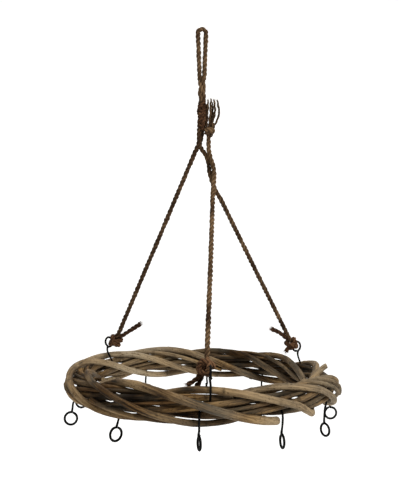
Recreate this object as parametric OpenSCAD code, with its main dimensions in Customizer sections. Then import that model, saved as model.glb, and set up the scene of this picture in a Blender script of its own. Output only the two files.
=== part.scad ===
// Hanging willow ring rack: a woven ring of willow rods, hung from one rope sling, with wire eyes that carry
// what hangs from the rack.
// Millimetres, +Z up. The origin is the inside of the rope loop's crown, where a ceiling hook bears.

/* [Ring] */
// Radius of the ring's centreline
ring_r = 220; // [216:1:224]
// Drop from the rope loop's crown to the middle of the ring
ring_drop = 637; // [630:1:645]
// Tilt of the ring, with its right side low, in degrees
ring_tilt = 1.3; // [0:0.1:2]

/* [Willow rods] */
// Diameter of the hidden hoop that carries the wire eyes
core_d = 6; // [5:0.5:6]
// Diameter of the inner weavers
inner_d = 11; // [9:0.2:11]
// Diameter of the thin filling rods in the grooves of the inner weave
filler_d = 6.5; // [4:0.5:6.5]
// Diameter of the binding rods between the thick outer weavers
binder_d = 8; // [5:0.5:8]

/* [Wire eyes] */
// Diameter of the wire of the stems
stem_d = 3.3; // [2:0.1:3.3]
// Diameter of the wire of the rings of the eyes
eye_wire_d = 3.5; // [2.4:0.1:3.5]
// Radius of a lower eye, to the middle of its wire
lower_eye_r = 10.6; // [9:0.1:11]
// Radius of an upper eye, to the middle of its wire
upper_eye_r = 9.3; // [8:0.1:9.5]

/* [Rope] */
// Diameter of the rope
rope_d = 8; // [6:0.5:8]
// Radius of the loop's crown, to the middle of the rope
crown_r = 7.3; // [7:0.1:8]

/* [Hidden] */

$fn = 48;

// Colours
willow_brown = [0.33, 0.26, 0.18];
willow_grey = [0.45, 0.40, 0.32];
willow_dark = [0.25, 0.19, 0.13];
rope_brown = [0.38, 0.30, 0.24];
wire_black = [0.05, 0.05, 0.05];

// The weave. A rod's place is an azimuth round the ring, counted from the front towards the right, and an
// angle round the ring's tube, counted from the outside upwards. Along the front the outer rods fall as they
// go right, and the inner rods rise.
inner_reach = 13.1;          // from the tube's middle to the middle of an inner weaver
outer_reach = 24.75;         // the same, for an outer weaver of outer_d
outer_d = 12;                // a thicker outer weaver lies further out, by half the difference
inner_turns = 2.25;          // turns round the tube for one turn round the ring
outer_turns = 2.75;
inner_phase = -34.25;        // angle of an inner groove at the front
outer_top = 3.8;             // azimuth where an outer weaver crosses the top, near the front
outer_step = 360 / (4 * outer_turns);  // azimuth from one outer weaver's top to the next
end_fall = 2.1;              // how much faster an outer rod falls where it turns steeply to its end
ring_step = 6;               // azimuth between two rings of a rod's mesh
rod_sides = 8;

// Outer weavers: [top azimuth in steps from outer_top, start, end, diameter, azimuth where it turns steeper]
outer_weavers = [
    [-2, -256, 84, 12, 48],
    [-1, -254, 31, 13.2, 31],
    [0, -290, 66, 12, 38],
    [1, -260, 90, 12, 52],
];
// Inner weavers: azimuth where each starts, in the order of their grooves
inner_starts = [-264, -256, -261, -267];
inner_span = 351;
// Filling rods: [groove number, start, end]
fillers = [[0, 8, 104], [2, -74, 60], [3, -112, 24], [5, -200, -130], [6, -236, -116], [7, -228, -160],
    [1, -68, -8], [1, 12, 66], [4, -158, -54], [3, 43, 84]];
filler_lift = 1.6;           // a filling rod lies this much further out than the inner weavers
// Binding rods: [steps from outer_top, start, end, azimuth where it turns steeper]. Each lies above one
// outer weaver and leaves it slowly.
binders = [
    [-2, -94, -52, -52],
    [1, 4, 96, 52],
    [2, 44, 100, 48],
    [4, 98, 172, 172],
    [-5, -192, -120, -120],
    [-4, -80, -45, -45],
    [-3, -47, -5, -5],
];
binder_lead = 29;            // angle from the weaver below to the binding rod's start
binder_drift = 28;           // and how much that angle grows along the binding rod
binder_reach = 24.3;
// The free end of a rod that springs off the top: [azimuth, reach, angle] of each of its points
free_end = [[64, 25, 158], [69, 25.5, 133], [72, 29, 112], [75, 41, 86]];
free_end_d = 10;

// Wire. The loop that holds a wire eye goes round the core hoop.
stem_clear = 0.3;
grip_r = core_d / 2 + stem_clear + eye_wire_d / 2;
stem_out = 19.5;             // how far a stem runs straight from the core before it bends
elbow_d = stem_d + 0.3;

// Lower eyes: [azimuth, angle of the stem inside the weave, bend [outwards, down], end of the stem
// [outwards, down], twist of the eye about its stem]
hooks = [
    [-1, -38, [16, 30], [14, 41], 16],
    [33, -54, [11, 31], [10, 46], -19],
    [70, -65, [5, 31], [5, 55], -34],
    [96, -75, [19, 31], [20, 49], 0],
    [146, -68, [4, 32], [3, 47], 0],
    [177, -88, [1, 32], [1, 46], 6],
    [-148, -99, [-1, 32], [0, 47], 0],
    [-104, -95, [4, 32], [14, 46], 0],
    [-75, -112, [12, 32], [13, 50], 0],
    [-38, -119, [-6, 30], [-2, 47], -10],
];
hook_lean = 2;               // how far a lower eye's middle lies outside the end of its stem

// Upper eyes: [azimuth, angle of the stem inside the weave, bend [outwards, up], end of the stem
// [outwards, up]]
upper_eyes = [[-121, 138, [0, 34], [-1, 43]], [121, 66, [1, 33], [0, 43]], [3, 60, [8, 30], [1, 43]]];
upper_lean = -3;             // the same, for an upper eye, which leans inwards
KNOT_LEFT = [-169, 98, -576];
KNOT_RIGHT = [176, 102, -582];
KNOT_FRONT = [7, -199, -581];

// Rope. The loop and the neck bend at two pivots, and the ring spins under the neck.
side_pivot = -88;
front_pivot = -112;
spin_plane = -130;
neck_r = 8;
joint_gap = 0.3;
run_gap = 0.2;               // between the loop's two runs where they meet
neck_shrink = 0.4;           // the neck's middle is this much thinner than its round ends
knot_bottom = -178;
knot_core_d = 15;
wrap_count = 5;
wrap_r = 5.6;                // radius of a turn, to the middle of the rope
wrap_shift = 1.5;            // the turns lie a little to the right of the neck
second_knot_at = [12.5, -5, -180];
second_knot_r = 9.6;
eye_knot_r = 12.5;
left_route = [[-5, -2.5, -178], [-5, -2.5, -192], [-6.5, -2.5, -206], [-13, 1.4, -221], KNOT_LEFT];
right_route = [[1, 7, -178], [-1, 7, -192], [-4, 6, -206], [1, 2.5, -217], [8, -1.5, -227],
    [11.5, -4.5, -240], [13, -6, -252], [16, -7, -266], [20, -6, -279], [25, -3, -291],
    [34, 3, -306], KNOT_RIGHT];
front_route = [[12, -4, -188], [12, -4.5, -205], [12.5, -5.5, -219], [16, -8, -233],
    [20, -11, -246], [22, -14, -259], [21.5, -18, -274], [20, -24, -292], KNOT_FRONT];
leg_rings = 16;              // extra rings along the straight part of a leg

// Loose ends: [start, middle, end]
tail_bend_d = rope_d + 0.2;
tail_left_route = [[-161, 94, -570], [-143, 91, -558], [-120, 88, -543]];
tail_right_route = [[168, 97, -574], [152, 94, -561], [136, 92, -553]];
stub_right_route = [[172, 99, -586], [168, 96, -592], [165, 94, -597]];
tail_front_a = [[0, -199, -586], [-8, -197, -598], [-23, -195, -609]];
tail_front_b = [[2, -194, -590], [-3, -190, -602], [-9, -187, -614]];
yarns = [
    [[9, -9, -178], [9, -10, -165], [10, -10, -150], [11, -10, -128]],
    [[12, -8, -178], [14, -9, -165], [15.5, -9, -148], [16, -9, -126]],
    [[14, -6, -179], [19, -7, -166], [23.5, -7, -150], [22, -7, -127]],
    [[16, -4, -180], [25, -4, -168], [31, -4, -150], [28, -4, -127]],
    [[13, 0, -178], [17, 1, -162], [19.5, 1, -146], [19, 1, -130]],
];
yarn_d = 3.4;

function unit(v) = v / norm(v);
function flat(rows) = [for (row = rows) for (item = row) item];
function mix(a, b, t) = a + (b - a) * t;

// A point of the ring, in the ring's own level frame.
function tube_point(azimuth, reach, angle) =
    let (out = ring_r + reach * cos(angle))
    [out * sin(azimuth), -out * cos(azimuth), reach * sin(angle)];

function steps(from, to) = ceil((to - from) / ring_step);

function outer_angle(step, azimuth, steep_from) =
    90 - outer_turns * (azimuth - outer_top - step * outer_step) - end_fall * max(0, azimuth - steep_from);
function groove_angle(groove, azimuth) = inner_phase + 90 * groove + inner_turns * azimuth;

function outer_path(weaver) =
    let (n = steps(weaver[1], weaver[2]))
    [for (i = [0:n]) let (a = mix(weaver[1], weaver[2], i / n))
        tube_point(a, outer_reach + (weaver[3] - outer_d) / 2, outer_angle(weaver[0], a, weaver[4]))];

function inner_path(index) =
    let (n = steps(0, inner_span))
    [for (i = [0:n]) let (a = inner_starts[index] + inner_span * i / n)
        tube_point(a, inner_reach, groove_angle(index + 0.5, a))];

function filler_path(filler) =
    let (n = steps(filler[1], filler[2]))
    [for (i = [0:n]) let (a = mix(filler[1], filler[2], i / n))
        tube_point(a, inner_reach + filler_lift, groove_angle(filler[0], a))];

function binder_path(binder) =
    let (n = steps(binder[1], binder[2]))
    [for (i = [0:n]) let (a = mix(binder[1], binder[2], i / n))
        tube_point(a, binder_reach,
            outer_angle(binder[0], a, binder[3]) + binder_lead + binder_drift * i / n)];

// A leg's route: its bent start, then evenly spaced rings along its straight part.
function leg_path(route) =
    let (n = len(route), a = route[n - 2], b = route[n - 1])
    concat([for (i = [0:n - 3]) route[i]], [for (i = [0:leg_rings]) mix(a, b, i / leg_rings)]);

// Sweeps a round rod of diameter d along a path; ref is a direction that the path never follows.
module sweep(path, d, ref, sides = rod_sides) {
    last = len(path) - 1;
    rings = [for (i = [0:last])
        let (t = unit(path[min(i + 1, last)] - path[max(i - 1, 0)]),
             u = unit(cross(ref, t)),
             v = cross(t, u))
        [for (k = [0:sides - 1]) path[i] + d / 2 * (cos(360 * k / sides) * u + sin(360 * k / sides) * v)]];
    walls = [for (i = [0:last - 1]) for (k = [0:sides - 1])
        let (a = i * sides + k, b = i * sides + (k + 1) % sides)
        each [[a, a + sides, b], [b, a + sides, b + sides]]];
    caps = [[for (k = [0:sides - 1]) k], [for (k = [sides - 1:-1:0]) last * sides + k]];
    polyhedron(flat(rings), concat(walls, caps));
}

// Places children that are drawn in the ring's level frame.
module in_ring() {
    translate([0, 0, -ring_drop]) rotate([0, ring_tilt, 0]) children();
}

// Places children on the core hoop: +X outwards, +Y along the hoop, +Z up.
module at_azimuth(azimuth) {
    in_ring() rotate([0, 0, azimuth - 90]) translate([ring_r, 0, 0]) children();
}

// A straight round bar from one point to another.
module bar(from, to, d) {
    along = to - from;
    translate(from)
        rotate([0, acos(along[2] / norm(along)), atan2(along[1], along[0])])
            cylinder(d = d, h = norm(along));
}

module ring(r, d, angle = 360) {
    rotate_extrude(angle = angle) translate([r, 0]) circle(d = d);
}

// A ring of wire that stands in the XZ plane.
module upright_ring(r) {
    rotate([90, 0, 0]) ring(r, eye_wire_d);
}

// A wire eye: a loop round the core hoop, a bent stem and the eye. up is 1 or -1.
module wire_eye(azimuth, angle, bend, end, up, r, lean, twist) {
    start = [grip_r * cos(angle), 0, grip_r * sin(angle)];
    elbow = [stem_out * cos(angle), 0, stem_out * sin(angle)];
    knee = [bend[0], 0, up * bend[1]];
    tip = [end[0], 0, up * end[1]];
    rise = sqrt(r * r - lean * lean);
    at_azimuth(azimuth) {
        upright_ring(grip_r);
        bar(start, elbow, stem_d);
        bar(elbow, knee, stem_d);
        bar(knee, tip, stem_d);
        for (corner = [elbow, knee]) translate(corner) sphere(d = elbow_d);
        translate(tip) rotate([0, 0, twist]) translate([lean, 0, up * rise]) upright_ring(r);
    }
}

module hook(i) {
    h = hooks[i];
    color(wire_black) wire_eye(h[0], h[1], h[2], h[3], -1, lower_eye_r, hook_lean, h[4]);
}

module upper_eye(i) {
    e = upper_eyes[i];
    color(wire_black) wire_eye(e[0], e[1], e[2], e[3], 1, upper_eye_r, upper_lean, 0);
}

module core_hoop() {
    color(willow_dark) in_ring() ring(ring_r, core_d, $fn = 144);
}

module inner_weaver(i) {
    color(willow_brown) in_ring() sweep(inner_path(i), inner_d, [0, 0, 1]);
}

module outer_weaver(i) {
    color(willow_grey) in_ring() sweep(outer_path(outer_weavers[i]), outer_weavers[i][3], [0, 0, 1]);
}

module filler(i) {
    color(willow_dark) in_ring() sweep(filler_path(fillers[i]), filler_d, [0, 0, 1]);
}

module binder(i) {
    color(willow_brown) in_ring() sweep(binder_path(binders[i]), binder_d, [0, 0, 1]);
}

module free_rod_end() {
    path = [for (point = free_end) tube_point(point[0], point[1], point[2])];
    color(willow_grey) in_ring() sweep(path, free_end_d, [0, 1, 0]);
}

// The doubled rope at the top: a half turn over the ceiling hook, and two runs that close towards the neck.
module hanging_loop() {
    crown_z = rope_d / 2 - crown_r;
    foot = (rope_d + run_gap) / 2;
    color(rope_brown) difference() {
        union() {
            translate([0, 0, crown_z]) rotate([90, 0, 0]) ring(crown_r, rope_d, 180);
            for (side = [-1, 1]) bar([side * crown_r, 0, crown_z], [side * foot, 0, side_pivot], rope_d);
        }
        translate([0, 0, side_pivot]) sphere(r = neck_r + joint_gap);
    }
}

// The neck is the two runs laid round each other. Its round ends turn on the pivots.
module neck_upper() {
    color(rope_brown) {
        translate([0, 0, side_pivot]) sphere(r = neck_r);
        translate([0, 0, front_pivot]) sphere(r = neck_r);
        bar([0, 0, front_pivot], [0, 0, side_pivot], neck_r * 2 - neck_shrink);
    }
}

module neck_lower() {
    color(rope_brown) difference() {
        bar([0, 0, spin_plane + joint_gap], [0, 0, front_pivot], neck_r * 2);
        translate([0, 0, front_pivot]) sphere(r = neck_r + joint_gap);
    }
}

// Turns of rope wrapped round the ends, from the neck down.
module main_knot() {
    pitch = (spin_plane - knot_bottom) / wrap_count;
    color(rope_brown) {
        bar([0, 0, knot_bottom], [0, 0, spin_plane], knot_core_d);
        for (i = [0:wrap_count - 1])
            translate([wrap_shift, 0, knot_bottom + pitch * (i + 0.5)]) ring(wrap_r, rope_d);
    }
}

module second_knot() {
    color(rope_brown) translate(second_knot_at) sphere(r = second_knot_r);
}

module frayed_yarns() {
    color(rope_brown) for (yarn = yarns) sweep(yarn, yarn_d, [0, 1, 0]);
}

module leg(route) {
    color(rope_brown) sweep(leg_path(route), rope_d, [0, 1, 0]);
}

// The pulled-up knot at an upper eye, round the eye's wire and the end of the leg.
module eye_knot(at) {
    color(rope_brown) translate(at) sphere(r = eye_knot_r);
}

module tail(route) {
    color(rope_brown) {
        bar(route[0], route[1], rope_d);
        bar(route[1], route[2], rope_d);
        translate(route[1]) sphere(d = tail_bend_d);
    }
}

module tails_front() {
    tail(tail_front_a);
    tail(tail_front_b);
}

hanging_loop();
neck_upper();
neck_lower();
main_knot();
second_knot();
frayed_yarns();
leg(left_route);  // leg_left
leg(right_route);  // leg_right
leg(front_route);  // leg_front
eye_knot(KNOT_LEFT);  // eye_knot_left
eye_knot(KNOT_RIGHT);  // eye_knot_right
eye_knot(KNOT_FRONT);  // eye_knot_front
tail(tail_left_route);  // tail_left
tail(tail_right_route);  // tail_right
tail(stub_right_route);  // tail_stub_right
tails_front();  // tail_front
core_hoop();
inner_weaver(0);  // inner_weaver_1
inner_weaver(1);  // inner_weaver_2
inner_weaver(2);  // inner_weaver_3
inner_weaver(3);  // inner_weaver_4
outer_weaver(0);  // outer_weaver_1
outer_weaver(1);  // outer_weaver_2
outer_weaver(2);  // outer_weaver_3
outer_weaver(3);  // outer_weaver_4
filler(0);  // filler_1
filler(1);  // filler_2
filler(2);  // filler_3
filler(3);  // filler_4
filler(4);  // filler_5
filler(5);  // filler_6
filler(6);  // filler_7
filler(7);  // filler_8
filler(8);  // filler_9
filler(9);  // filler_10
free_rod_end();
binder(0);  // binder_1
binder(1);  // binder_2
binder(2);  // binder_3
binder(3);  // binder_4
binder(4);  // binder_5
binder(5);  // binder_6
binder(6);  // binder_7
upper_eye(0);  // upper_eye_left
upper_eye(1);  // upper_eye_right
upper_eye(2);  // upper_eye_front
hook(0);  // hook_1
hook(1);  // hook_2
hook(2);  // hook_3
hook(3);  // hook_4
hook(4);  // hook_5
hook(5);  // hook_6
hook(6);  // hook_7
hook(7);  // hook_8
hook(8);  // hook_9
hook(9);  // hook_10
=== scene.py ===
import math
import bpy
import numpy as np
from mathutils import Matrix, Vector


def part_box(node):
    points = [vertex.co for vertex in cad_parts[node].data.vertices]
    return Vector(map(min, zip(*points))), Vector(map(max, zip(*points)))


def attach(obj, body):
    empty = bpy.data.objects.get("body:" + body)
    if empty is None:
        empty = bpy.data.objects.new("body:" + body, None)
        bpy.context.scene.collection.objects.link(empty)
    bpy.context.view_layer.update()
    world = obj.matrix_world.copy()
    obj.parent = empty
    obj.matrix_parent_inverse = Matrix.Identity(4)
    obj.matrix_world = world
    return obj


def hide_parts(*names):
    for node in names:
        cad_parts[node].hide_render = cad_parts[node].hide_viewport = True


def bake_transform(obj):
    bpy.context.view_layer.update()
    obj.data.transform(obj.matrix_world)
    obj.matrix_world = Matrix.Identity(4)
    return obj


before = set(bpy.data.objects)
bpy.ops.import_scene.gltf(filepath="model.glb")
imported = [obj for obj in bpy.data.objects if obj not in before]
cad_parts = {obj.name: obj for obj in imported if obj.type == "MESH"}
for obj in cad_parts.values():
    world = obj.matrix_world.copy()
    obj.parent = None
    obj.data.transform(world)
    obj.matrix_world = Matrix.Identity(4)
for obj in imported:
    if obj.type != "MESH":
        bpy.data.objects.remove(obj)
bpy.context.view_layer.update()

MM = 0.001

# ---------------------------------------------------------------- ring and weave, as in the CAD (millimetres)
RING_R, RING_DROP, TILT = 220.0, 637.0, math.radians(1.3)
INNER_REACH, OUTER_REACH = 13.1, 24.75
INNER_TURNS, OUTER_TURNS, INNER_PHASE = 2.25, 2.75, -34.25
OUTER_TOP = 3.8
OUTER_STEP = 360 / (4 * OUTER_TURNS)
OUTER_D = 12.0
INNER_SPAN = 351
FILLER_REACH = INNER_REACH + 1.6
BINDER_REACH, BINDER_LEAD, BINDER_DRIFT = 24.3, 29, 28
END_FALL = 2.1
STEM_OUT, GRIP_R = 19.5, 5.05
SIDE_PIVOT, FRONT_PIVOT, SPIN_PLANE, KNOT_BOTTOM = -88.0, -112.0, -130.0, -178.0


def to_row(p):
    """A point of the level ring frame, in the row frame."""
    p = np.asarray(p, float)
    c, s = math.cos(TILT), math.sin(TILT)
    return np.stack([p[..., 0] * c + p[..., 2] * s, p[..., 1],
                     -p[..., 0] * s + p[..., 2] * c - RING_DROP], -1)


def tube_point(az, reach, angle):
    """A point of the ring frame, at a reach and an angle round the ring's core."""
    a, g = np.radians(az), np.radians(angle)
    out = RING_R + reach * np.cos(g)
    return np.stack([out * np.sin(a), -out * np.cos(a), reach * np.sin(g)], -1)


def core_point(az):
    """The middle of the weave at an azimuth."""
    a = np.radians(az)
    return np.stack([RING_R * np.sin(a), -RING_R * np.cos(a), 0 * a], -1)


def outer_angle(step, az, steep_from):
    """Where a thick rod is round the core. It falls away faster after the azimuth steep_from."""
    return 90 - OUTER_TURNS * (az - OUTER_TOP - step * OUTER_STEP) - END_FALL * np.maximum(0, az - steep_from)


def groove_angle(groove, az):
    """Where an inner rod (half grooves) or a groove (whole ones) is round the core."""
    return INNER_PHASE + 90 * groove + INNER_TURNS * az


# ------------------------------------------------------------------ small numeric helpers
def unit(v):
    return v / np.maximum(np.linalg.norm(v, axis=-1, keepdims=True), 1e-12)


def wave_noise(t, rng, low, high):
    """A smooth random curve of about unit size, made of sines of wavelengths from low to high."""
    waves = 7
    out = np.zeros_like(t, dtype=float)
    for _ in range(waves):
        w = rng.uniform(low, high)
        out += np.sin(2 * math.pi * t / w + rng.uniform(0, 2 * math.pi))
    return out / math.sqrt(waves / 2)


FINE_STEPS = 24  # points of a smooth curve between two given ones, before it is spaced evenly


def smooth_path(points, step):
    """A Catmull-Rom curve through the points, at an even spacing."""
    p = np.asarray(points, float)
    p = np.vstack([2 * p[0] - p[1], p, 2 * p[-1] - p[-2]])
    out = []
    for i in range(1, len(p) - 2):
        p0, p1, p2, p3 = p[i - 1], p[i], p[i + 1], p[i + 2]
        t01 = max(np.linalg.norm(p1 - p0), 1e-6) ** 0.5
        t12 = max(np.linalg.norm(p2 - p1), 1e-6) ** 0.5
        t23 = max(np.linalg.norm(p3 - p2), 1e-6) ** 0.5
        m1 = (p2 - p1) + t12 * ((p1 - p0) / t01 - (p2 - p0) / (t01 + t12))
        m2 = (p2 - p1) + t12 * ((p3 - p2) / t23 - (p3 - p1) / (t12 + t23))
        t = np.linspace(0, 1, FINE_STEPS, endpoint=False)[:, None]
        out.append((2 * t**3 - 3 * t**2 + 1) * p1 + (t**3 - 2 * t**2 + t) * m1
                   + (-2 * t**3 + 3 * t**2) * p2 + (t**3 - t**2) * m2)
    out.append(p[-2][None])
    fine = np.vstack(out)
    run = np.concatenate([[0], np.cumsum(np.linalg.norm(np.diff(fine, axis=0), axis=1))])
    n = max(3, int(round(run[-1] / step)) + 1)
    at = np.linspace(0, run[-1], n)
    return np.stack([np.interp(at, run, fine[:, k]) for k in range(3)], -1)


def run_of(path):
    """How far along the path each of its points is."""
    return np.concatenate([[0], np.cumsum(np.linalg.norm(np.diff(path, axis=0), axis=1))])


def carried_frames(path, first=(0.3, 0.9, 0.2)):
    """Tangents and two cross directions that don't turn about the path."""
    t = unit(np.gradient(path, axis=0))
    n = np.zeros_like(path)
    v = np.asarray(first, float)
    for i in range(len(path)):
        v = v - t[i] * np.dot(v, t[i])
        v /= max(np.linalg.norm(v), 1e-9)
        n[i] = v
    return t, n, np.cross(t, n)


# ------------------------------------------------------------------ meshes
def make_mesh(name, verts, faces, materials, face_materials, attributes):
    """A smooth mesh object from millimetres, with point attributes that the materials read."""
    mesh = bpy.data.meshes.new(name)
    mesh.from_pydata((np.asarray(verts) * MM).tolist(), [], [list(map(int, f)) for f in faces])
    for m in materials:
        mesh.materials.append(m)
    mesh.polygons.foreach_set("use_smooth", [True] * len(mesh.polygons))
    if face_materials is not None:
        mesh.polygons.foreach_set("material_index", np.asarray(face_materials, np.int32))
    for key, values in attributes.items():
        values = np.asarray(values, np.float32)
        kind = "FLOAT" if values.ndim == 1 else "FLOAT_VECTOR"
        layer = mesh.attributes.new(key, kind, "POINT")
        layer.data.foreach_set("value" if values.ndim == 1 else "vector", values.ravel())
    mesh.update()
    obj = bpy.data.objects.new(name, mesh)
    bpy.context.scene.collection.objects.link(obj)
    return obj


class Build:
    """Gathers the tubes of one piece, with their attributes, into one mesh."""

    SOFT_BEVEL, CUT_BEVEL = 0.8, 0.92  # an end's inner ring, as a part of its outer one
    BEVEL_OUT, DOME = 0.4, 0.15  # how far the inner ring stands out, and the middle beyond it

    def __init__(self):
        self.v, self.f, self.m, self.a, self.n = [], [], [], {}, 0

    def tube(self, path, n, b, radius, attrs, cap_mat=None, slant=0.0):
        """radius is (rings, sides) or (rings, 1); attrs maps a key to (rings, sides[, 3]) values."""
        rings, sides = len(path), attrs["grain"].shape[1]
        ang = attrs.get("_angle")
        if ang is None:
            ang = np.tile(np.linspace(0, 2 * math.pi, sides, endpoint=False), (rings, 1))
        r = np.broadcast_to(radius, (rings, sides))
        verts = (path[:, None] + (r * np.cos(ang))[..., None] * n[:, None]
                 + (r * np.sin(ang))[..., None] * b[:, None])
        base = self.n
        idx = base + np.arange(rings * sides).reshape(rings, sides)
        nxt = np.roll(idx, -1, axis=1)
        quads = np.stack([idx[:-1], nxt[:-1], nxt[1:], idx[1:]], -1).reshape(-1, 4)
        self.f += quads.tolist()
        self.m += [0] * len(quads)
        self.v.append(verts.reshape(-1, 3))
        got = {k: np.asarray(v, float) for k, v in attrs.items() if k != "_angle"}
        for k, v in got.items():
            self.a.setdefault(k, []).append(v.reshape(rings * sides, -1))
        self.n += rings * sides
        t = unit(np.cross(n, b))
        for end, ring, sign in ((0, idx[0], -1), (-1, idx[-1], 1)):
            # a bevelled end: a smaller ring a little further out, then a fan to the middle
            c = path[end]
            edge = verts[end]
            bevel = self.SOFT_BEVEL if cap_mat is None else self.CUT_BEVEL
            inner = c + (edge - c) * bevel + sign * t[end] * self.BEVEL_OUT
            if cap_mat is not None:  # cut a little askew
                inner = inner + t[end] * ((inner - c) @ n[end] * slant)[:, None]
            mid = inner.mean(0)[None] + sign * t[end] * self.DOME
            start = self.n
            cap = start + (sides if cap_mat is not None else 0)
            self.v.append(np.vstack([inner, inner, mid] if cap_mat is not None else [inner, mid]))
            for k, v in got.items():
                e = v[end].reshape(sides, -1)
                small = e * [0.8, 0.8, 1][: e.shape[1]] if k == "grain" else e
                copies = 2 if cap_mat is not None else 1
                self.a[k].append(np.vstack([small] * copies + [e.mean(0, keepdims=True)]))
            self.n += cap - start + sides + 1
            k_mat = 0 if cap_mat is None else cap_mat
            for k in range(sides):
                j = (k + 1) % sides
                o0, o1, i0, i1 = ring[k], ring[j], start + k, start + j
                quad = [o1, o0, i0, i1] if sign < 0 else [o0, o1, i1, i0]
                i0, i1 = cap + k, cap + j
                tri = [i1, i0, cap + sides] if sign < 0 else [i0, i1, cap + sides]
                self.f += [quad, tri]
                self.m += [0, k_mat]

    def finish(self, name, materials):
        """All the tubes so far as one mesh object."""
        attrs = {k: np.vstack(v) for k, v in self.a.items()}
        attrs = {k: (v[:, 0] if v.shape[1] == 1 else v) for k, v in attrs.items()}
        return make_mesh(name, np.vstack(self.v), self.f, materials, self.m, attrs)


# ------------------------------------------------------------------ materials
def node_material(name):
    """An empty material with one Principled shader."""
    mat = bpy.data.materials.new(name)
    mat.use_nodes = True
    nodes, links = mat.node_tree.nodes, mat.node_tree.links
    nodes.clear()
    out = nodes.new("ShaderNodeOutputMaterial")
    bsdf = nodes.new("ShaderNodeBsdfPrincipled")
    links.new(bsdf.outputs[0], out.inputs[0])
    return mat, nodes, links, bsdf


class Graph:
    """Short names for the nodes that the materials share."""

    def __init__(self, nodes, links):
        self.nodes, self.links = nodes, links

    def attr(self, name, output):
        n = self.nodes.new("ShaderNodeAttribute")
        n.attribute_name = name
        return n.outputs[output]

    def scaled(self, vector, scale, offset=(0, 0, 0)):
        n = self.nodes.new("ShaderNodeMapping")
        self.links.new(vector, n.inputs["Vector"])
        n.inputs["Scale"].default_value = scale
        n.inputs["Location"].default_value = offset
        return n.outputs[0]

    def noise(self, vector, scale=1.0, detail=3.0, rough=0.55, distort=0.0):
        n = self.nodes.new("ShaderNodeTexNoise")
        self.links.new(vector, n.inputs["Vector"])
        n.inputs["Scale"].default_value = scale
        n.inputs["Detail"].default_value = detail
        n.inputs["Roughness"].default_value = rough
        n.inputs["Distortion"].default_value = distort
        return n.outputs["Fac"]

    def ramp(self, value, stops):
        n = self.nodes.new("ShaderNodeValToRGB")
        self.links.new(value, n.inputs[0])
        while len(n.color_ramp.elements) < len(stops):
            n.color_ramp.elements.new(0.5)
        for e, (at, c) in zip(n.color_ramp.elements, stops):
            e.position = at
            e.color = (*c, 1)
        return n.outputs[0]

    def math(self, op, a, b, clamp=False):
        n = self.nodes.new("ShaderNodeMath")
        n.operation, n.use_clamp = op, clamp
        for k, v in enumerate((a, b)):
            if isinstance(v, (int, float)):
                n.inputs[k].default_value = v
            else:
                self.links.new(v, n.inputs[k])
        return n.outputs[0]

    def mix(self, fac, a, b):
        n = self.nodes.new("ShaderNodeMix")
        n.data_type = "RGBA"
        for sock, v in ((n.inputs[0], fac), (n.inputs[6], a), (n.inputs[7], b)):
            if isinstance(v, (int, float)):
                sock.default_value = v
            elif isinstance(v, tuple):
                sock.default_value = (*v, 1)
            else:
                self.links.new(v, sock)
        return n.outputs[2]

    def bump(self, height, strength, distance):
        n = self.nodes.new("ShaderNodeBump")
        n.inputs["Strength"].default_value = strength
        n.inputs["Distance"].default_value = distance
        self.links.new(height, n.inputs["Height"])
        return n.outputs[0]


def linear(c):
    """The linear value of one sRGB channel from 0 to 255."""
    return (c / 255 / 12.92) if c / 255 <= 0.04045 else ((c / 255 + 0.055) / 1.055) ** 2.4


def srgb(r, g, b):
    return linear(r), linear(g), linear(b)


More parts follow.
